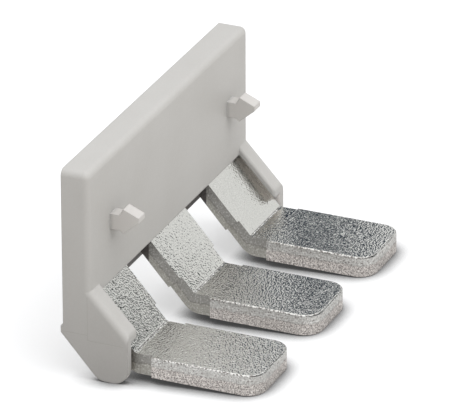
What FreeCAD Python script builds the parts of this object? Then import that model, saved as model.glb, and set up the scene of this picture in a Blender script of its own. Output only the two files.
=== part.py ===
"""Three-way jumper bar for large screw terminals, in millimetres.

A tin-plated copper comb has a straight web and three legs. Each leg bends forward out of the
web, slopes down, and bends again into a level tongue, which a terminal clamps. A hollow moulded
cover closes over the web. Its two slanting cheeks wrap the outer edges of the outer legs, and
two snap pins stand on its front face.

The pieces are drawn with the plate's front face at Y = 0, the tongues pointing to -Y and their
undersides at Z = 0. Their Placement then moves them to the part's own frame: the origin is the
middle of the footprint at the level of the cheeks' feet, +X along the row of legs and +Z up.
A reach is a distance forward of the plate's front face, so it is minus Y.
"""
import FreeCAD, Part
import math
import os
import re

import Sketcher

SIZES = (
    ("poles", 3, "number of legs"),
    ("pitch", 25.0, "one leg to the next, centre to centre"),
    ("sheet", 3.0, "thickness of the web and the legs"),
    ("tongue_thick", 3.8, "thickness of a tongue"),
    ("tongue_width", 14.8, "width of a tongue"),
    ("tongue_reach", 30.6, "reach of a tongue's tip"),
    ("tongue_corner", 3.3, "radius of a tongue's two tip corners"),
    ("leg_width", 14.8, "width of a leg"),
    ("leg_slope", 48.5, "slope of the legs and of the cheeks' back edges, in degrees"),
    ("bend_reach", 7.3, "reach of the crease of the lower bend"),
    ("bend_inside", 1.0, "inside radius of the bends"),
    ("bend_outside", 3.6, "outside radius of the bends"),
    ("neck_width", 13.4, "width of a leg where it is notched for the lower bend"),
    ("neck_up", 3.5, "crease to the notch's upper shoulder, along the leg"),
    ("neck_end", 10.6, "reach of the notch's lower shoulder"),
    ("die_roll", 0.35, "radius that stamping leaves on the upper edges of legs and tongues"),
    ("web_foot", 18.0, "height at which the gaps between the legs begin"),
    ("plate_top", 37.1, "height of the cover's top face"),
    ("wall", 1.0, "thickness of the plate's front, back and top walls"),
    ("end_wall", 1.5, "thickness of the plate's ends and the cheeks' side walls"),
    ("fit", 0.1, "clearance between comb and cover, on each side"),
    ("plate_round", 1.2, "fillet on the cover's front, top and end edges"),
    ("roof_round", 0.5, "fillet on the inner edge of a cheek's roof"),
    ("back_foot", 7.6, "height of the back wall's lower edge"),
    ("roof_gap", 0.9, "from a leg's top end up to the cheek's roof over it"),
    ("roof_slope", 47.0, "slope of the cheeks' roofs, in degrees"),
    ("roof_thick", 1.05, "thickness of a cheek's roof"),
    ("roof_width", 4.0, "width of a cheek's roof, along the row"),
    ("cheek_depth", 8.0, "how far a cheek's slanting back edge lies under the leg's top face"),
    ("cheek_out", 0.45, "how far a cheek stands out behind the plate"),
    ("cheek_front", 6.9, "reach of a cheek's upright front edge"),
    ("foot_depth", 1.6, "how far the cheeks' feet reach below the tongues"),
    ("foot_round", 2.8, "radius of the corners of a cheek's foot"),
    ("pin_shift", 0.7, "how far a snap pin stands off the middle of the leg under it"),
    ("pin_level", 24.7, "height of the middle of the snap pins' stems"),
    ("pin_thick", 2.6, "thickness of a snap pin, along the row"),
    ("stem_high", 2.9, "height of a snap pin's stem"),
    ("stem_long", 1.9, "length of a snap pin's stem"),
    ("barb_over", 1.25, "how far the upper barb stands over the stem"),
    ("barb_under", 0.5, "how far the lower barb hangs under the stem"),
    ("barb_lean", 0.6, "how far the barbs' back faces lean forward"),
    ("pin_long", 5.4, "reach of a snap pin's tip"),
    ("tip_high", 0.9, "height of the blunt tip, whose top is level with the stem's"),
)

# Lengths that follow from the sizes, as expressions.
FIRST_LEG = "(-pitch * (poles - 1) / 2)"
LEG_EDGE = "(pitch * (poles - 1) / 2 + leg_width / 2)"
INNER_END = f"({LEG_EDGE} + fit)"
OUTER_END = f"({INNER_END} + end_wall)"
PLATE = "(2 * wall + 2 * fit + sheet)"
WEB_FRONT = "(wall + fit)"
WEB_BACK = "(wall + fit + sheet)"
WEB_TOP = "(plate_top - wall - fit)"
SHOULDER_REACH = "(bend_reach - neck_up * cos(leg_slope))"
SHOULDER_HEIGHT = "(tongue_thick + neck_up * sin(leg_slope))"
UNDER_SHOULDER_REACH = f"({SHOULDER_REACH} - sheet * sin(leg_slope))"
UNDER_SHOULDER_HEIGHT = f"({SHOULDER_HEIGHT} - sheet * cos(leg_slope))"
STEM_TOP = "(pin_level + stem_high / 2)"
STEM_FOOT = "(pin_level - stem_high / 2)"
BARB_REACH = "(stem_long + barb_lean)"


def height_at(reach, lift):
    """Height at this reach on a plane parallel to the legs and this far off their top faces."""
    return f"(tongue_thick + (bend_reach - {reach}) * tan(leg_slope) + {lift} / cos(leg_slope))"


def reach_at(height, lift):
    """Reach at this height on the same plane."""
    return f"(bend_reach + (tongue_thick - {height}) / tan(leg_slope) + {lift} / sin(leg_slope))"


def cells(text):
    """The expression with each size named as a cell of the sheet."""
    names = "|".join(alias for alias, _, _ in SIZES)
    return re.sub(rf"\b({names})\b", r"Sizes.\1", text)


def make_sheet(doc):
    """The driving dimensions: the meaning, value and name of each."""
    sheet = doc.addObject("Spreadsheet::Sheet", "Sizes")
    for row, (alias, value, meaning) in enumerate(SIZES, start=1):
        sheet.set(f"A{row}", meaning)
        sheet.set(f"B{row}", str(value))
        sheet.setAlias(f"B{row}", alias)
    doc.recompute()


def make_body(doc, label):
    """A body whose Placement takes the drawing to the part's own frame."""
    body = doc.addObject("PartDesign::Body", label)
    body.Label = label
    body.setExpression("Placement.Base.y", cells(f"(tongue_reach - {PLATE} - cheek_out) / 2"))
    body.setExpression("Placement.Base.z", cells("foot_depth"))
    return body


def origin_part(body, role):
    """One of the body's own planes or axes."""
    return next(item for item in body.Origin.OriginFeatures if item.Role == role)


def section(body, name, corners, offset="0"):
    """A closed sketch of straight lines across the row; each corner is a pair (Y, Z)."""
    sketch = body.newObject("Sketcher::SketchObject", name)
    sketch.AttachmentSupport = (origin_part(body, "YZ_Plane"), [""])
    sketch.MapMode = "FlatFace"
    sketch.setExpression("AttachmentOffset.Base.z", cells(offset))
    count = len(corners)
    turns = [2 * math.pi * index / count for index in range(count)]
    ring = [FreeCAD.Vector(math.cos(turn), math.sin(turn)) for turn in turns]
    for index in range(count):
        sketch.addGeometry(Part.LineSegment(ring[index], ring[(index + 1) % count]))
    for index in range(count):
        sketch.addConstraint(Sketcher.Constraint("Coincident", index, 2, (index + 1) % count, 1))
    for index, corner in enumerate(corners):
        for kind, place in zip(("DistanceX", "DistanceY"), corner):
            number = sketch.addConstraint(Sketcher.Constraint(kind, -1, 1, index, 1, 1.0))
            sketch.setExpression(f"Constraints[{number}]", cells(place))
    body.Document.recompute()
    return sketch


def extrude(body, kind, name, sketch, length, both_ways):
    """The sketch added or cut over this length, half to each side of its plane or all to +X."""
    before = 0.0 if body.Shape.isNull() else body.Shape.Volume
    feature = body.newObject(f"PartDesign::{kind}", name)
    feature.Profile = sketch
    feature.SideType = "Symmetric" if both_ways else "One side"
    feature.setExpression("Length", cells(length))
    feature.Refine = True
    body.Document.recompute()
    gained = body.Shape.Volume - before
    if (gained <= 0) == (kind == "Pad"):
        raise RuntimeError(f"{name} adds or cuts nothing")
    return feature


def repeat(body, name, originals, copies):
    """The features at the first leg copied along the row, up to the last leg."""
    feature = body.newObject("PartDesign::LinearPattern", name)
    feature.Originals = originals
    feature.Direction = (origin_part(body, "X_Axis"), [""])
    feature.setExpression("Length", cells("pitch * (poles - 1)"))
    feature.setExpression("Occurrences", cells(copies))
    feature.Refine = True
    body.Tip = feature
    body.Document.recompute()


def mirror(body, name, originals):
    """The same features at the other end of the row."""
    feature = body.newObject("PartDesign::Mirrored", name)
    feature.Originals = originals
    feature.MirrorPlane = (origin_part(body, "YZ_Plane"), [""])
    feature.Refine = True
    body.Tip = feature
    body.Document.recompute()


def fillet(body, name, wanted, radius):
    """Rounds every edge of the body that passes the test."""
    base = body.Tip
    edges = [
        f"Edge{number}" for number, edge in enumerate(base.Shape.Edges, start=1) if wanted(edge)]
    if not edges:
        raise RuntimeError(f"{name} finds no edge")
    feature = body.newObject("PartDesign::Fillet", name)
    feature.Base = (base, edges)
    feature.setExpression("Radius", cells(radius))
    body.Tip = feature
    body.Document.recompute()


def corner(sketch, index):
    """Where the sketch's corner with this number lies: its Y and Z."""
    point = sketch.Geometry[index].StartPoint
    return point.x, point.y


def near(value, target):
    return abs(value - target) < 1e-4


def along_row(*corners):
    """A test for the edges along the row through one of these corners."""
    def wanted(edge):
        ends = [vertex.Point for vertex in edge.Vertexes]
        return len(ends) == 2 and not near(ends[0].x, ends[1].x) and any(
            all(near(end.y, y) and near(end.z, z) for end in ends) for y, z in corners)
    return wanted


def make_comb(doc):
    """The bent copper comb: web, legs, notched lower bends and tongues."""
    body = make_body(doc, "contact_comb")
    web = section(body, "WebSection", (
        (WEB_FRONT, "web_foot"),
        (WEB_BACK, "web_foot"),
        (WEB_BACK, WEB_TOP),
        (WEB_FRONT, WEB_TOP)))
    extrude(body, "Pad", "Web", web, f"2 * {LEG_EDGE}", True)
    leg = section(body, "LegSection", (
        (WEB_FRONT, "web_foot"),
        (WEB_FRONT, height_at(f"-{WEB_FRONT}", "0")),
        (f"-{SHOULDER_REACH}", SHOULDER_HEIGHT),
        (f"-{UNDER_SHOULDER_REACH}", UNDER_SHOULDER_HEIGHT),
        (WEB_BACK, height_at(f"-{WEB_BACK}", "-sheet")),
        (WEB_BACK, "web_foot")), FIRST_LEG)
    leg_pad = extrude(body, "Pad", "Leg", leg, "leg_width", True)
    neck = section(body, "NeckSection", (
        (f"-{SHOULDER_REACH}", SHOULDER_HEIGHT),
        ("-bend_reach", "tongue_thick"),
        ("-neck_end", "tongue_thick"),
        ("-neck_end", "0"),
        (f"-{reach_at('0', '-sheet')}", "0"),
        (f"-{UNDER_SHOULDER_REACH}", UNDER_SHOULDER_HEIGHT)), FIRST_LEG)
    neck_pad = extrude(body, "Pad", "Neck", neck, "neck_width", True)
    tongue = section(body, "TongueSection", (
        ("-neck_end", "0"),
        ("-neck_end", "tongue_thick"),
        ("-tongue_reach", "tongue_thick"),
        ("-tongue_reach", "0")), FIRST_LEG)
    tongue_pad = extrude(body, "Pad", "Tongue", tongue, "tongue_width", True)
    repeat(body, "Legs", [leg_pad, neck_pad, tongue_pad], "poles")
    fillet(body, "BendsInside", along_row(corner(leg, 1), corner(neck, 1)), "bend_inside")
    fillet(body, "BendsOutside", along_row(corner(leg, 4), corner(neck, 4)), "bend_outside")
    tip = corner(tongue, 2)[0]

    def at_tip_corner(edge):
        ends = [vertex.Point for vertex in edge.Vertexes]
        return all(near(end.y, tip) for end in ends) and near(ends[0].x, ends[-1].x)
    fillet(body, "TongueCorners", at_tip_corner, "tongue_corner")
    top = corner(tongue, 1)

    def on_upper_rim(edge):
        ends = [vertex.Point for vertex in edge.Vertexes]
        on_tongue = all(near(end.z, top[1]) and end.y < top[0] + 1e-4 for end in ends)
        across = near(ends[0].y, ends[1].y) and near(ends[0].y, top[0])
        return on_tongue and not across
    fillet(body, "DieRoll", on_upper_rim, "die_roll")
    return body


def make_cover(doc):
    """The moulded cover: hollow plate, two cheeks and two snap pins."""
    body = make_body(doc, "insulating_cover")
    front_foot = height_at("0", "roof_gap")
    roof_foot = f"({front_foot} - cheek_front * tan(roof_slope))"
    roof_rise = "roof_thick / cos(roof_slope)"
    plate = section(body, "PlateSection", (
        ("0", front_foot),
        ("0", "plate_top"),
        (PLATE, "plate_top"),
        (PLATE, "back_foot"),
        (f"{PLATE} - wall", "back_foot"),
        (f"{PLATE} - wall", front_foot)))
    extrude(body, "Pad", "Plate", plate, f"2 * {OUTER_END}", True)
    hollow = section(body, "HollowSection", (
        ("wall", "back_foot"),
        (f"{PLATE} - wall", "back_foot"),
        (f"{PLATE} - wall", "plate_top - wall"),
        ("wall", "plate_top - wall")))
    extrude(body, "Pocket", "Hollow", hollow, f"2 * {INNER_END}", True)

    side = section(body, "CheekOutline", (
        (f"{PLATE} + cheek_out", "back_foot"),
        (f"{PLATE} + cheek_out", height_at(f"-({PLATE} + cheek_out)", "-cheek_depth")),
        (f"-{reach_at('-foot_depth', '-cheek_depth')}", "-foot_depth"),
        ("-cheek_front", "-foot_depth"),
        ("-cheek_front", f"{roof_foot} + {roof_rise}"),
        ("0", f"{front_foot} + {roof_rise}"),
        (PLATE, f"{front_foot} + {roof_rise}"),
        (PLATE, "back_foot")), INNER_END)
    side_pad = extrude(body, "Pad", "CheekSide", side, "end_wall", False)
    roof = section(body, "RoofSection", (
        ("0", front_foot),
        ("0", f"{front_foot} + {roof_rise}"),
        ("-cheek_front", f"{roof_foot} + {roof_rise}"),
        ("-cheek_front", roof_foot)), f"{OUTER_END} - roof_width")
    roof_pad = extrude(body, "Pad", "CheekRoof", roof, "roof_width", False)
    mirror(body, "OtherEnd", [side_pad, roof_pad])
    pin = section(body, "PinOutline", (
        ("0", STEM_FOOT),
        ("0", STEM_TOP),
        ("-stem_long", STEM_TOP),
        (f"-{BARB_REACH}", f"{STEM_TOP} + barb_over"),
        ("-pin_long", STEM_TOP),
        ("-pin_long", f"{STEM_TOP} - tip_high"),
        (f"-{BARB_REACH}", f"{STEM_FOOT} - barb_under"),
        ("-stem_long", STEM_FOOT)), f"{FIRST_LEG} + pin_shift")
    pin_pad = extrude(body, "Pad", "SnapPin", pin, "pin_thick", True)
    repeat(body, "OtherPin", [pin_pad], "2")

    fillet(body, "FeetRounds", along_row(corner(side, 2), corner(side, 3)), "foot_round")
    top_front = corner(plate, 1)
    roof_back = corner(side, 5)
    roof_front = corner(side, 4)
    end_x = max(vertex.Point.x for vertex in body.Shape.Vertexes)

    def on_outer_rim(edge):
        ends = [vertex.Point for vertex in edge.Vertexes]
        if len(ends) != 2:
            return False
        if along_row(top_front, roof_front)(edge):
            return True
        on_end = near(ends[0].x, ends[1].x) and near(abs(ends[0].x), end_x)
        upright = all(near(end.y, 0) for end in ends) and min(
            end.z for end in ends) > roof_back[1] - 1e-4
        across_top = all(near(end.z, top_front[1]) for end in ends)
        sloping = all(any(near(end.y, y) and near(end.z, z) for y, z in (roof_back, roof_front))
                      for end in ends)
        return on_end and (upright or across_top or sloping)
    fillet(body, "OuterRounds", on_outer_rim, "plate_round")
    inner_x = roof.AttachmentOffset.Base.z
    fall = (roof_back[1] - roof_front[1]) / (roof_back[0] - roof_front[0])

    def on_roof_edge(edge):
        ends = [vertex.Point for vertex in edge.Vertexes]
        return len(ends) == 2 and not near(ends[0].y, ends[1].y) and all(
            near(abs(end.x), inner_x)
            and near(end.z - roof_back[1], fall * (end.y - roof_back[0])) for end in ends)
    fillet(body, "RoofRounds", on_roof_edge, "roof_round")
    return body


def check(doc, bodies):
    """Stops if any object failed or a body is not one sound solid."""
    for item in doc.Objects:
        if "Invalid" in item.State or "Error" in item.State:
            raise RuntimeError(f"{item.Label} failed: {item.State}")
    for body in bodies:
        shape = body.Shape
        if shape.isNull() or not shape.isValid() or len(shape.Solids) != 1:
            raise RuntimeError(f"{body.Label} is not one valid solid")


def main():
    doc = FreeCAD.newDocument("JumperBar")
    make_sheet(doc)
    bodies = [make_comb(doc), make_cover(doc)]
    doc.recompute()
    check(doc, bodies)
    os.makedirs("parts", exist_ok=True)
    for body in bodies:
        body.Shape.exportStep(f"parts/{body.Label}.step")
        box = body.Shape.BoundBox
        print(body.Label, "volume", round(body.Shape.Volume, 1), "box", box)


main()
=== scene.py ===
"""Looks of the three-way jumper bar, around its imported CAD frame, in metres.

Both pieces are the CAD's own solids. This script gives them their finishes, tinned stamped
copper and fine matt moulded plastic, and sets up a plain studio with a pale floor.
"""

import math

import bpy
from mathutils import Matrix, Vector

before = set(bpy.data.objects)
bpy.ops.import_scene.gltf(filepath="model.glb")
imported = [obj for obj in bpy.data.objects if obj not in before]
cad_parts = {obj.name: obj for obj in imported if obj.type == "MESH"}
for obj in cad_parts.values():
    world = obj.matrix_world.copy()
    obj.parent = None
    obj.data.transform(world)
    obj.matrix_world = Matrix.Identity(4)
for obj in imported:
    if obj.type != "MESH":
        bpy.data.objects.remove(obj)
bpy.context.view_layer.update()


def colour(red, green, blue):
    return (red, green, blue, 1.0)


MM = 0.001
IMAGE_WIDTH = 450
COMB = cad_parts["contact_comb"]
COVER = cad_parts["insulating_cover"]

# The part's own measures, in millimetres, as the CAD has them.
PLATE_FRONT_Y = 12.475
TONGUE_UNDER = 1.6
TONGUE_THICK = 3.8
TONGUE_REACH = 30.6
TONGUE_TOP = TONGUE_UNDER + TONGUE_THICK
CREASE_Y = PLATE_FRONT_Y - 7.3
SHOULDER_Y = PLATE_FRONT_Y - 10.6
WEB_FRONT_Y = PLATE_FRONT_Y + 1.1
FOOT_Y = PLATE_FRONT_Y - 4.5
LEG_SLOPE = math.radians(48.5)
LEG_NORMAL = Vector((0, -math.sin(LEG_SLOPE), math.cos(LEG_SLOPE)))

# The camera as fitted to the photograph: angles in degrees, lengths in millimetres.
CAMERA_AZIMUTH = -66.411
CAMERA_ELEVATION = 25.472
CAMERA_ROLL = -0.212
CAMERA_DISTANCE = 1087.723
CAMERA_TARGET = Vector((3.311, 3.620, 17.808))
CAMERA_CLIP = (0.05, 20.0)
FOCAL_PIXELS = 6223.571
SENSOR_WIDTH = 36.0

# The comb's finish and the shade and highlights painted on it, in millimetres. A pair is where
# something fades, from and to.
SHEAR_DEPTH = 1.7
SHEAR_FADE = (1.50, 1.95)
SHEAR_WANDER = 1.0
SEAM_FADE = (0.05, 0.22)
SHOULDER_FADE = 0.1
WEB_SHADE_FADE = (WEB_FRONT_Y - 0.2, WEB_FRONT_Y)
CALM_LEGS_X = (-18.0, -14.0)
TIN_NOOK = 0.8
TIN_RELIEF = 0.090

TIN_DULL = colour(0.80, 0.80, 0.77)
TIN_BRIGHT = colour(0.98, 0.98, 0.95)
TIN_CLOUD = colour(0.92, 0.93, 0.90)
SHEAR_DARK = colour(0.55, 0.55, 0.53)
SHEAR_PALE = colour(0.68, 0.68, 0.66)
SHEAR_SPECK = colour(0.34, 0.32, 0.30)
SHEAR_CHIP = colour(0.40, 0.375, 0.355)
FRACTURE_PALE = colour(0.83, 0.78, 0.74)
FRACTURE_DARK = colour(0.25, 0.23, 0.22)
LEG_DARK = colour(0.33, 0.325, 0.295)
LEG_PALE = colour(0.41, 0.40, 0.365)
LEG_SHEAR = colour(0.25, 0.25, 0.245)
LEG_SPECK = colour(0.24, 0.22, 0.20)
SEAM = colour(0.17, 0.16, 0.15)
PIT = colour(0.20, 0.18, 0.17)
GLINT = colour(0.88, 0.85, 0.82)
WEB_PAINTED_SHADE = colour(0.10, 0.092, 0.088)
LIP_DARK = colour(0.28, 0.26, 0.24)
LIP_HIGHLIGHT = colour(0.97, 0.96, 0.93)
TIP_PAINTED_REFLECTION = colour(0.10, 0.10, 0.10)
TIN_SHADE = colour(0.12, 0.11, 0.10)

# The cover's finish and the shade and light painted on it, in millimetres, with pairs as above.
COVER_EDGE = 0.30
COVER_NOOK = 5.0
COVER_RELIEF = 0.04
COVER_IOR = 1.52
CHEEKS_X = (30.0, 31.0)
INNER_WALL_Y = (WEB_FRONT_Y, WEB_FRONT_Y + 0.3)
CHEEK_INSIDE = (-24.0, -16.0)
ROOF_LOW_Y = (3.0, 4.5)
ROOF_HIGH_Y = (12.0, 12.4)
PIN_ROOT_Y = (11.6, 12.4)
PIN_FOOT_Z = (20.0, 21.0)
END_FACE_X = (33.90, 33.96)
MOULD_LINE_FADE = (0.03, 0.12)

# The mould lines on the cover's ends: the axis they lie across (1 for Y, 2 for Z), their place
# on it, and the stretch they cover on the other axis.
MOULD_LINES = ((2, 8.2, 13.1, 17.6), (1, 13.1, 7.2, 15.5), (2, 7.2, 6.4, 13.1))

GREY_DARK = colour(0.428, 0.417, 0.400)
GREY_PALE = colour(0.446, 0.436, 0.420)
GREY_GRAIN = colour(0.47, 0.465, 0.45)
GREY_EDGE = colour(0.58, 0.578, 0.57)
GREY_HOLLOW_SHADE = colour(0.10, 0.09, 0.085)
GREY_ROOFED_LIGHT = colour(0.98, 0.93, 0.90)
GREY_PIN_LIGHT = colour(0.56, 0.54, 0.52)
GREY_LINE = colour(0.30, 0.28, 0.26)

# The floor: its size in metres, the rest in millimetres. Its painted shadow, which only the light
# it bounces shows, lies beside the near end.
FLOOR_HALF = 3.0
FLOOR_GAP = 0.02
FLOOR_NOOK = 4.5
SHADOW_NEAR_X = (-74.0, -58.0)
SHADOW_FAR_X = (-34.5, -33.5)
SHADOW_Y = (-12.0, 2.0)
FLOOR_BOUNCE = colour(0.69, 0.67, 0.64)
FLOOR_PAINTED_SHADOW = colour(0.24, 0.22, 0.20)
FLOOR_SEEN = colour(0.58, 0.58, 0.585)
FLOOR_MIRRORED = colour(0.18, 0.18, 0.18)
FLOOR_GLOW = 0.36
FLOOR_GLOSS = (0.35, 0.75)
BLACK = colour(0, 0, 0)
WHITE = colour(1, 1, 1)

# The light: the world's strength at the horizon and what it gains overhead, the room that gloss
# sees at the side and overhead, and the lamp's direction in degrees, distance and size in metres.
SKY_LOW = 0.42
SKY_GAIN = 0.98
SKY_TINT = colour(0.99, 0.995, 1.0)
ROOM_LIFT = (0.52, 0.85)
ROOM_STRENGTH = (0.67, 1.06)
LAMP = {"azimuth": -20, "elevation": 60, "distance": 1.3, "size": 1.2, "power": 9.6}

# The cards that only gloss sees. Each has its name, its bearing and lift from the part in
# degrees, its distance and its left, right, low and high edges in millimetres, its colour, and
# a share, which below 1 leaves pale patches in it, as of a cluttered room.
CARDS = (
    ("flag_for_tongues", 23.6, 25.5, 80, -5.5, -27, -40, 44, (0.03, 0.04, 0.055), 0.66),
    ("flag_for_first_leg", -29.6, 17.8, 75, -3.0, -90, -40, 50, (0.02, 0.022, 0.025), 0.61),
    ("panel_for_legs", -29.6, 17.8, 160, 60, -8, -45, 90, (0.70, 0.70, 0.69), 1.0),
    ("strip_for_creases", 0.0, 34.0, 150, 6, -6, -14, 14, (1.6, 1.6, 1.6), 1.0),
)
PATCH_SCALE = 85.0
PATCH_EDGE = 0.02
PATCH = colour(0.86, 0.87, 0.86)


def make_camera():
    azimuth = math.radians(CAMERA_AZIMUTH)
    elevation = math.radians(CAMERA_ELEVATION)
    roll = math.radians(CAMERA_ROLL)
    back = Vector((math.sin(azimuth) * math.cos(elevation),
                   -math.cos(azimuth) * math.cos(elevation),
                   math.sin(elevation)))
    right = Vector((math.cos(azimuth), math.sin(azimuth), 0))
    up = back.cross(right)
    across = right * math.cos(roll) + up * math.sin(roll)
    upward = up * math.cos(roll) - right * math.sin(roll)
    data = bpy.data.cameras.new("camera")
    data.sensor_fit = "HORIZONTAL"
    data.sensor_width = SENSOR_WIDTH
    data.lens = FOCAL_PIXELS / IMAGE_WIDTH * SENSOR_WIDTH
    data.clip_start, data.clip_end = CAMERA_CLIP
    camera = bpy.data.objects.new("camera", data)
    bpy.context.scene.collection.objects.link(camera)
    place = Matrix((across, upward, back)).transposed().to_4x4()
    place.translation = (CAMERA_TARGET + back * CAMERA_DISTANCE) * MM
    camera.matrix_world = place
    bpy.context.scene.camera = camera


class Nodes:
    """A short way to write a node tree."""

    def __init__(self, tree):
        self.tree = tree
        tree.nodes.clear()

    def add(self, kind, settings=None, **inputs):
        node = self.tree.nodes.new(kind)
        for name, value in (settings or {}).items():
            setattr(node, name, value)
        for name, value in inputs.items():
            self.feed(node, name.replace("_", " "), value)
        return node

    def feed(self, node, name, value):
        """Sets an input, found by its number or its name, to a value or another node's output."""
        key = int(name[1:]) if name[0] == "i" and name[1:].isdigit() else name
        socket = node.inputs[key]
        if isinstance(value, bpy.types.NodeSocket):
            self.tree.links.new(value, socket)
        elif isinstance(value, bpy.types.Node):
            self.tree.links.new(value.outputs[0], socket)
        else:
            socket.default_value = value

    def math(self, operation, *values):
        node = self.add("ShaderNodeMath", {"operation": operation})
        for number, value in enumerate(values):
            self.feed(node, f"i{number}", value)
        return node.outputs[0]

    def times(self, value, *others):
        """The product of two or more values."""
        for other in others:
            value = self.math("MULTIPLY", value, other)
        return value

    def plus(self, value, *others):
        """The sum of two or more values."""
        for other in others:
            value = self.math("ADD", value, other)
        return value

    def largest(self, value, *others):
        """The largest of two or more values."""
        for other in others:
            value = self.math("MAXIMUM", value, other)
        return value

    def blend(self, factor, first, second):
        """One colour passing into another."""
        node = self.add("ShaderNodeMix", {"data_type": "RGBA"})
        self.feed(node, "i0", factor)
        self.feed(node, "i6", first)
        self.feed(node, "i7", second)
        return node.outputs[2]

    def ramp(self, value, low, high, to_low=0.0, to_high=1.0):
        """A smooth step of a value from one range to another."""
        node = self.add("ShaderNodeMapRange", {"interpolation_type": "SMOOTHSTEP"})
        for number, item in enumerate((value, low, high, to_low, to_high)):
            self.feed(node, f"i{number}", item)
        return node.outputs[0]

    def fade(self, value, span, to_low=0.0, to_high=1.0):
        """A smooth step of a length in metres, over a span given in millimetres."""
        return self.ramp(value, span[0] * MM, span[1] * MM, to_low, to_high)

    def noise(self, place, scale, detail=2.0, roughness=0.5, stretch=(1, 1, 1)):
        """Noise of so many grains to the metre."""
        mapping = self.add("ShaderNodeMapping", Vector=place, Scale=stretch)
        node = self.add("ShaderNodeTexNoise", Vector=mapping, Scale=scale, Detail=detail,
                        Roughness=roughness)
        return node.outputs[0]

    def object_place(self):
        return self.add("ShaderNodeTexCoord").outputs["Object"]

    def split(self, vector):
        """A vector's X, Y and Z."""
        return tuple(self.add("ShaderNodeSeparateXYZ", Vector=vector).outputs)

    def openness(self, distance):
        """How open the surroundings are within a distance in millimetres, from 0 to 1."""
        node = self.add("ShaderNodeAmbientOcclusion", {"samples": 8}, Distance=distance * MM)
        return node.outputs["AO"]


def new_material(name):
    material = bpy.data.materials.new(name)
    material.use_nodes = True
    return material, Nodes(material.node_tree)


class CombMasks:
    """Where a point of the comb lies: on which face, in which band of a cut edge, on a leg."""

    def __init__(self, n):
        self.place = n.object_place()
        self.row, self.reach, height = n.split(self.place)
        normal = n.add("ShaderNodeNewGeometry").outputs["True Normal"]

        def along(direction):
            """How squarely the surface looks along a direction, either way."""
            dot = n.add("ShaderNodeVectorMath", {"operation": "DOT_PRODUCT"})
            n.feed(dot, "i0", normal)
            dot.inputs[1].default_value = direction
            return n.math("ABSOLUTE", dot.outputs["Value"])

        upright = along((0, 0, 1))
        facing = n.largest(upright, along(LEG_NORMAL))
        self.cut = n.ramp(facing, 0.80, 0.90, 1.0, 0.0)
        self.lip = n.times(n.ramp(upright, 0.20, 0.40), n.ramp(facing, 0.93, 0.985, 1.0, 0.0))
        # How squarely the surface looks to the front or back. On the lips this marks the dark
        # reflection painted at the tongues' ends.
        self.tip_reflection = n.ramp(along((0, 1, 0)), 0.30, 0.60, 0.0, 0.85)

        # Depth under the upper face and run along it, on a tongue or on a leg.
        under_tongue = n.math("SUBTRACT", TONGUE_TOP * MM, height)
        over_crease = n.math("SUBTRACT", self.reach, CREASE_Y * MM)
        under_leg = n.plus(n.times(over_crease, math.sin(LEG_SLOPE)),
                           n.times(under_tongue, math.cos(LEG_SLOPE)))
        along_leg = n.math("SUBTRACT", n.times(over_crease, math.cos(LEG_SLOPE)),
                           n.times(under_tongue, math.sin(LEG_SLOPE)))
        depth = n.largest(under_tongue, under_leg)
        run = n.largest(n.times(over_crease, -1.0), along_leg)
        self.lengthwise = n.add("ShaderNodeCombineXYZ", X=depth, Y=run, Z=self.row)
        shoulder = SHOULDER_Y - CREASE_Y
        self.on_leg = n.fade(over_crease, (shoulder, shoulder + SHOULDER_FADE))

        # The border between a cut edge's sheared and broken bands wanders a little.
        wander = n.math("SUBTRACT", n.noise(self.place, 900.0, detail=3.0), 0.5)
        edge = n.plus(depth, n.times(wander, SHEAR_WANDER * MM))
        self.below = n.fade(edge, SHEAR_FADE)
        self.fracture = n.times(self.below, self.cut, n.ramp(self.on_leg, 0.0, 1.0, 1.0, 0.25))
        off_seam = n.math("ABSOLUTE", n.math("SUBTRACT", edge, SHEAR_DEPTH * MM))
        self.seam = n.times(n.fade(off_seam, SEAM_FADE, 1.0, 0.0), self.cut,
                            n.ramp(self.on_leg, 0.0, 1.0, 0.22, 0.50))


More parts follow.
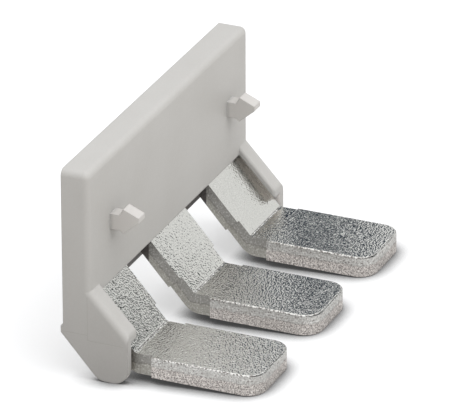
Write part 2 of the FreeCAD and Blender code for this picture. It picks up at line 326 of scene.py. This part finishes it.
def comb_tint(n, at, torn):
    """Pale rolled faces, two bands on the cut edges, and plainer sides on the legs, painted darker
    partly as shade. The lips get painted highlights and, at the tongues' ends, a painted dark
    reflection; the web under the cover and the nooks get painted shade.
    """
    cloud = n.noise(at.place, 120.0)
    chips = n.noise(at.place, 2600.0, detail=1.0)
    pits = n.noise(at.place, 3400.0, detail=1.0)
    streak = n.noise(at.lengthwise, 2600.0, roughness=0.6, stretch=(1, 0.12, 0.2))

    face = n.blend(n.ramp(torn, 0.32, 0.68), TIN_DULL, TIN_BRIGHT)
    face = n.blend(n.ramp(cloud, 0.3, 0.7, 0.0, 0.35), face, TIN_CLOUD)
    sheared = n.blend(n.ramp(streak, 0.3, 0.7), SHEAR_DARK, SHEAR_PALE)
    sheared = n.blend(n.ramp(torn, 0.38, 0.70, 0.0, 0.6), sheared, SHEAR_SPECK)
    sheared = n.blend(n.ramp(chips, 0.46, 0.66, 0.0, 0.45), sheared, SHEAR_CHIP)
    broken = n.blend(n.ramp(torn, 0.32, 0.68), FRACTURE_PALE, FRACTURE_DARK)
    tongue_side = n.blend(at.fracture, sheared, broken)
    # The legs' sides are plainer than the tongues', and their darker tone is partly their own,
    # partly painted shade from the shadowed floor they mirror.
    shaded_leg_side = n.blend(n.ramp(streak, 0.3, 0.7), LEG_DARK, LEG_PALE)
    shaded_leg_side = n.blend(n.ramp(at.below, 0.0, 1.0, 0.5, 0.0), shaded_leg_side, LEG_SHEAR)
    shaded_leg_side = n.blend(n.ramp(torn, 0.35, 0.70, 0.0, 0.35), shaded_leg_side, LEG_SPECK)

    side = n.blend(at.on_leg, tongue_side, shaded_leg_side)
    side = n.blend(at.seam, side, SEAM)
    speckled = n.ramp(at.on_leg, 0.0, 1.0, 1.0, 0.5)
    side = n.blend(n.times(speckled, n.ramp(pits, 0.56, 0.68, 0.0, 0.80)), side, PIT)
    side = n.blend(n.times(speckled, n.ramp(pits, 0.32, 0.42, 0.55, 0.0)), side, GLINT)
    # The web's front under the cover is painted near black: painted shade where the cover shadows
    # it.
    side = n.blend(n.fade(at.reach, WEB_SHADE_FADE), side, WEB_PAINTED_SHADE)
    tint = n.blend(at.cut, face, side)
    # The lips are painted with broken bright highlights and dark patches: a painted highlight, as
    # of the bright room they mirror.
    lip_highlight = n.blend(n.ramp(chips, 0.36, 0.60), LIP_DARK, LIP_HIGHLIGHT)
    # At the tongues' ends the lips are painted dark instead: a painted reflection.
    tint = n.blend(at.lip, tint, n.blend(at.tip_reflection, lip_highlight, TIP_PAINTED_REFLECTION))
    return n.blend(n.ramp(n.openness(TIN_NOOK), 0.35, 0.75, 0.6, 0.0), tint, TIN_SHADE)


def tinned_copper():
    """Matt tin with a fine hammered grain, and with sheared and broken bands on its cut edges."""
    material, n = new_material("tinned_copper")
    at = CombMasks(n)
    grain = n.noise(at.place, 3300.0, detail=0.0, stretch=(0.8, 1, 1))
    peel = n.noise(at.place, 1300.0, detail=1.0)
    torn = n.noise(at.place, 6500.0, detail=1.0)
    tint = comb_tint(n, at, torn)

    rough = n.plus(0.08, n.times(grain, 0.06), n.times(at.cut, 0.30), n.times(at.fracture, 0.08))

    # The grain is weaker on cut edges and lips, and a little weaker on the legs past the first.
    smooth = n.times(n.ramp(at.cut, 0.0, 1.0, 1.0, 0.7), n.ramp(at.lip, 0.0, 1.0, 1.0, 0.35))
    calm = n.times(at.on_leg, n.fade(at.row, CALM_LEGS_X))
    relief = n.plus(n.times(grain, 0.9), n.times(peel, 0.4), n.times(torn, at.fracture, 0.5))
    relief = n.times(relief, n.times(smooth, n.ramp(calm, 0.0, 1.0, 1.0, 0.75)))
    bump = n.add("ShaderNodeBump", Height=relief, Strength=1.0, Distance=TIN_RELIEF * MM)
    shader = n.add("ShaderNodeBsdfPrincipled", Base_Color=tint, Roughness=rough, Metallic=1.0,
                   Normal=bump)
    n.add("ShaderNodeOutputMaterial", Surface=shader)
    return material


def mould_lines(n, place):
    """Where the mould's inserts met: three fine lines on each end face of the cover."""
    split = n.split(place)
    lines = []
    for axis, level, low, high in MOULD_LINES:
        across, along = split[axis], split[3 - axis]
        off = n.math("ABSOLUTE", n.math("SUBTRACT", across, level * MM))
        within = n.times(n.math("GREATER_THAN", along, low * MM),
                         n.math("LESS_THAN", along, high * MM))
        lines.append(n.times(n.fade(off, MOULD_LINE_FADE, 1.0, 0.0), within))
    return n.times(n.largest(*lines), n.fade(n.math("ABSOLUTE", split[0]), END_FACE_X))


def cover_shades(n, place, normal):
    """Painted shade in the cavity between the cheeks, and painted light on the cheeks' insides and
    on the snap pins.
    """
    row, depth, height = n.split(place)
    sideways, forward, upward = n.split(normal)
    between = n.fade(n.math("ABSOLUTE", row), CHEEKS_X, 1.0, 0.0)
    # Painted shade: the cavity between the cheeks is painted darker where little is open around
    # it, and the back wall's inside near black.
    inner_wall = n.times(n.fade(depth, INNER_WALL_Y), n.ramp(forward, -0.9, -0.5, 1.0, 0.0))
    nook = n.ramp(n.openness(COVER_NOOK), 0.05, 0.40, 0.6, 0.0)
    hollow_shade = n.times(n.largest(nook, inner_wall), between)

    # Painted light: under the roofs the cheeks' insides are painted pale, for light that bounces
    # and passes through there.
    # A cheek's inside looks back along the row, so its normal and its place have unlike signs.
    inside = n.fade(n.times(sideways, row), CHEEK_INSIDE, 1.0, 0.0)
    under = n.ramp(upward, -0.6, -0.3, 1.0, 0.0)
    roofed_light = n.times(n.largest(inside, under), n.fade(depth, ROOF_LOW_Y),
                     n.fade(depth, ROOF_HIGH_Y, 1.0, 0.0), n.math("SUBTRACT", 1.0, between))

    # Painted light: the snap pins are painted paler, for the light their thin plastic lets
    # through.
    pin_light = n.times(n.fade(depth, PIN_ROOT_Y, 1.0, 0.0), n.fade(height, PIN_FOOT_Z), 0.8)
    return ((hollow_shade, GREY_HOLLOW_SHADE), (roofed_light, GREY_ROOFED_LIGHT), (pin_light, GREY_PIN_LIGHT))


def grey_polyamide():
    """Fine matt moulded plastic, a little paler along its edges."""
    material, n = new_material("grey_polyamide")
    place = n.object_place()
    normal = n.add("ShaderNodeNewGeometry").outputs["Normal"]
    cloud = n.noise(place, 90.0, detail=3.0)
    grain = n.noise(place, 2600.0)
    flow = n.noise(place, 260.0, stretch=(0.25, 1, 1))

    # An edge is where the rounded normal leaves the true one.
    rounded = n.add("ShaderNodeBevel", {"samples": 4}, Radius=COVER_EDGE * MM)
    match = n.add("ShaderNodeVectorMath", {"operation": "DOT_PRODUCT"})
    n.feed(match, "i0", rounded)
    n.feed(match, "i1", normal)
    edge = n.times(n.ramp(match.outputs["Value"], 0.75, 0.98, 1.0, 0.0), 0.45)

    lines = mould_lines(n, place)
    tint = n.blend(n.ramp(cloud, 0.3, 0.7), GREY_DARK, GREY_PALE)
    for amount, shade in ((n.times(n.ramp(grain, 0.4, 0.7), 0.25), GREY_GRAIN), (edge, GREY_EDGE),
                          *cover_shades(n, place, normal), (n.times(lines, 0.22), GREY_LINE)):
        tint = n.blend(amount, tint, shade)

    rough = n.plus(0.44, n.times(flow, 0.12))
    relief = n.math("SUBTRACT", n.plus(n.times(grain, 0.5), n.times(flow, 0.5)),
                    n.times(lines, 1.5))
    bump = n.add("ShaderNodeBump", Height=relief, Strength=0.25, Distance=COVER_RELIEF * MM)
    n.feed(bump, "Normal", rounded)
    shader = n.add("ShaderNodeBsdfPrincipled", Base_Color=tint, Roughness=rough, Normal=bump,
                   IOR=COVER_IOR)
    n.add("ShaderNodeOutputMaterial", Surface=shader)
    return material


def pale_floor():
    """White card. To the camera and in gloss it is a paler one than the part gets light from, with
    a shadow painted in near the part.
    """
    material, n = new_material("pale_floor")
    rays = n.add("ShaderNodeLightPath")
    seen, gloss = rays.outputs["Is Camera Ray"], rays.outputs["Is Glossy Ray"]
    x, y, _ = n.split(n.object_place())
    # Painted shadow: beside the near end the floor is darker for bounced light only, so the
    # cover's end gets less light towards the bottom.
    painted_shadow = n.times(n.fade(x, SHADOW_NEAR_X), n.fade(x, SHADOW_FAR_X, 1.0, 0.0), n.fade(y, SHADOW_Y))
    bounce = n.blend(painted_shadow, FLOOR_BOUNCE, FLOOR_PAINTED_SHADOW)
    # Painted shadow: to the camera and in gloss, the floor's colour and glow fade where the part
    # closes it in.
    open_sky = n.ramp(n.openness(FLOOR_NOOK), 0.30, 1.0, 0.10, 1.0)
    plain = n.blend(open_sky, BLACK, FLOOR_SEEN)
    mirrored = n.blend(gloss, bounce, FLOOR_MIRRORED)
    card = n.add("ShaderNodeBsdfDiffuse", Color=n.blend(seen, mirrored, plain))
    shine = n.plus(n.times(seen, FLOOR_GLOW, open_sky),
                   n.times(gloss, n.ramp(open_sky, 0.0, 1.0, *FLOOR_GLOSS)))
    glow = n.add("ShaderNodeEmission", Color=WHITE, Strength=shine)
    both = n.add("ShaderNodeAddShader")
    n.feed(both, "i0", card)
    n.feed(both, "i1", glow)
    n.add("ShaderNodeOutputMaterial", Surface=both)
    return material


def stage_sheet(name, corners, material):
    """A flat four-cornered sheet of the stage."""
    mesh = bpy.data.meshes.new(name)
    mesh.from_pydata(corners, [], [tuple(range(len(corners)))])
    mesh.materials.append(material)
    made = bpy.data.objects.new(name, mesh)
    bpy.context.scene.collection.objects.link(made)
    return made


def make_floor():
    """The part stands on its cheeks' feet and leans forward onto the tongues' tips."""
    tip_y = PLATE_FRONT_Y - TONGUE_REACH
    rise = TONGUE_UNDER / (FOOT_Y - tip_y)
    corners = [(x, y, (FOOT_Y * MM - y) * rise - FLOOR_GAP * MM)
               for x, y in ((-FLOOR_HALF, -FLOOR_HALF), (FLOOR_HALF, -FLOOR_HALF),
                            (FLOOR_HALF, FLOOR_HALF), (-FLOOR_HALF, FLOOR_HALF))]
    stage_sheet("floor", corners, pale_floor())


def make_card(name, bearing, lift, distance, left, right, low, high, shade, share):
    """A card that only gloss sees. It stands square to its bearing from the part."""
    angle = math.radians(bearing)
    ahead = Vector((math.cos(angle), math.sin(angle), 0))
    leftward = Vector((-ahead.y, ahead.x, 0))
    centre = ahead * distance + Vector((0, 0, distance * math.tan(math.radians(lift))))
    corners = [(centre + leftward * side + Vector((0, 0, up))) * MM
               for side, up in ((left, low), (right, low), (right, high), (left, high))]
    material, n = new_material(name)
    patches = n.noise(n.object_place(), PATCH_SCALE, detail=0.0)
    shown = n.blend(n.ramp(patches, share - PATCH_EDGE, share + PATCH_EDGE), colour(*shade), PATCH)
    n.add("ShaderNodeOutputMaterial",
          Surface=n.add("ShaderNodeEmission", Color=shown, Strength=1.0))
    card = stage_sheet(name, corners, material)
    card.visible_camera = False
    card.visible_diffuse = False
    card.visible_shadow = False
    card.visible_transmission = False


def make_lamp(azimuth, elevation, distance, size, power):
    """A square soft lamp that looks at the part, its direction given as the camera's is.

    Gloss doesn't show it, so that the bare metal isn't burnt out from any side."""
    turn = math.radians(azimuth)
    lift = math.radians(elevation)
    back = Vector((math.sin(turn) * math.cos(lift), -math.cos(turn) * math.cos(lift),
                   math.sin(lift)))
    data = bpy.data.lights.new("key", "AREA")
    data.shape = "SQUARE"
    data.size = size
    data.energy = power
    lamp = bpy.data.objects.new("key", data)
    lamp.location = back * distance
    lamp.rotation_mode = "QUATERNION"
    lamp.rotation_quaternion = back.to_track_quat("Z", "Y")
    lamp.visible_glossy = False
    bpy.context.scene.collection.objects.link(lamp)


def make_world():
    """A soft studio: white to the camera, brighter overhead, and a plainer room for the gloss."""
    world = bpy.data.worlds.new("studio")
    world.use_nodes = True
    bpy.context.scene.world = world
    n = Nodes(world.node_tree)
    rays = n.add("ShaderNodeLightPath")
    upward = n.split(n.add("ShaderNodeTexCoord").outputs["Generated"])[2]
    lift = n.largest(upward, 0.0)
    strength = n.add("ShaderNodeMix", {"data_type": "FLOAT"})
    n.feed(strength, "i0", rays.outputs["Is Glossy Ray"])
    n.feed(strength, "i2", n.plus(SKY_LOW, n.times(lift, SKY_GAIN)))
    n.feed(strength, "i3", n.ramp(lift, *ROOM_LIFT, *ROOM_STRENGTH))
    around = n.add("ShaderNodeBackground", Color=SKY_TINT, Strength=strength)
    white = n.add("ShaderNodeBackground", Color=WHITE, Strength=1.0)
    mix = n.add("ShaderNodeMixShader")
    n.feed(mix, "i0", rays.outputs["Is Camera Ray"])
    n.feed(mix, "i1", around)
    n.feed(mix, "i2", white)
    n.add("ShaderNodeOutputWorld", Surface=mix)


def dress(piece, material):
    piece.data.materials.clear()
    piece.data.materials.append(material)


def main():
    bpy.context.scene.view_settings.view_transform = "Standard"
    dress(COMB, tinned_copper())
    dress(COVER, grey_polyamide())
    make_floor()
    make_world()
    make_lamp(**LAMP)
    for card in CARDS:
        make_card(*card)
    make_camera()


main()
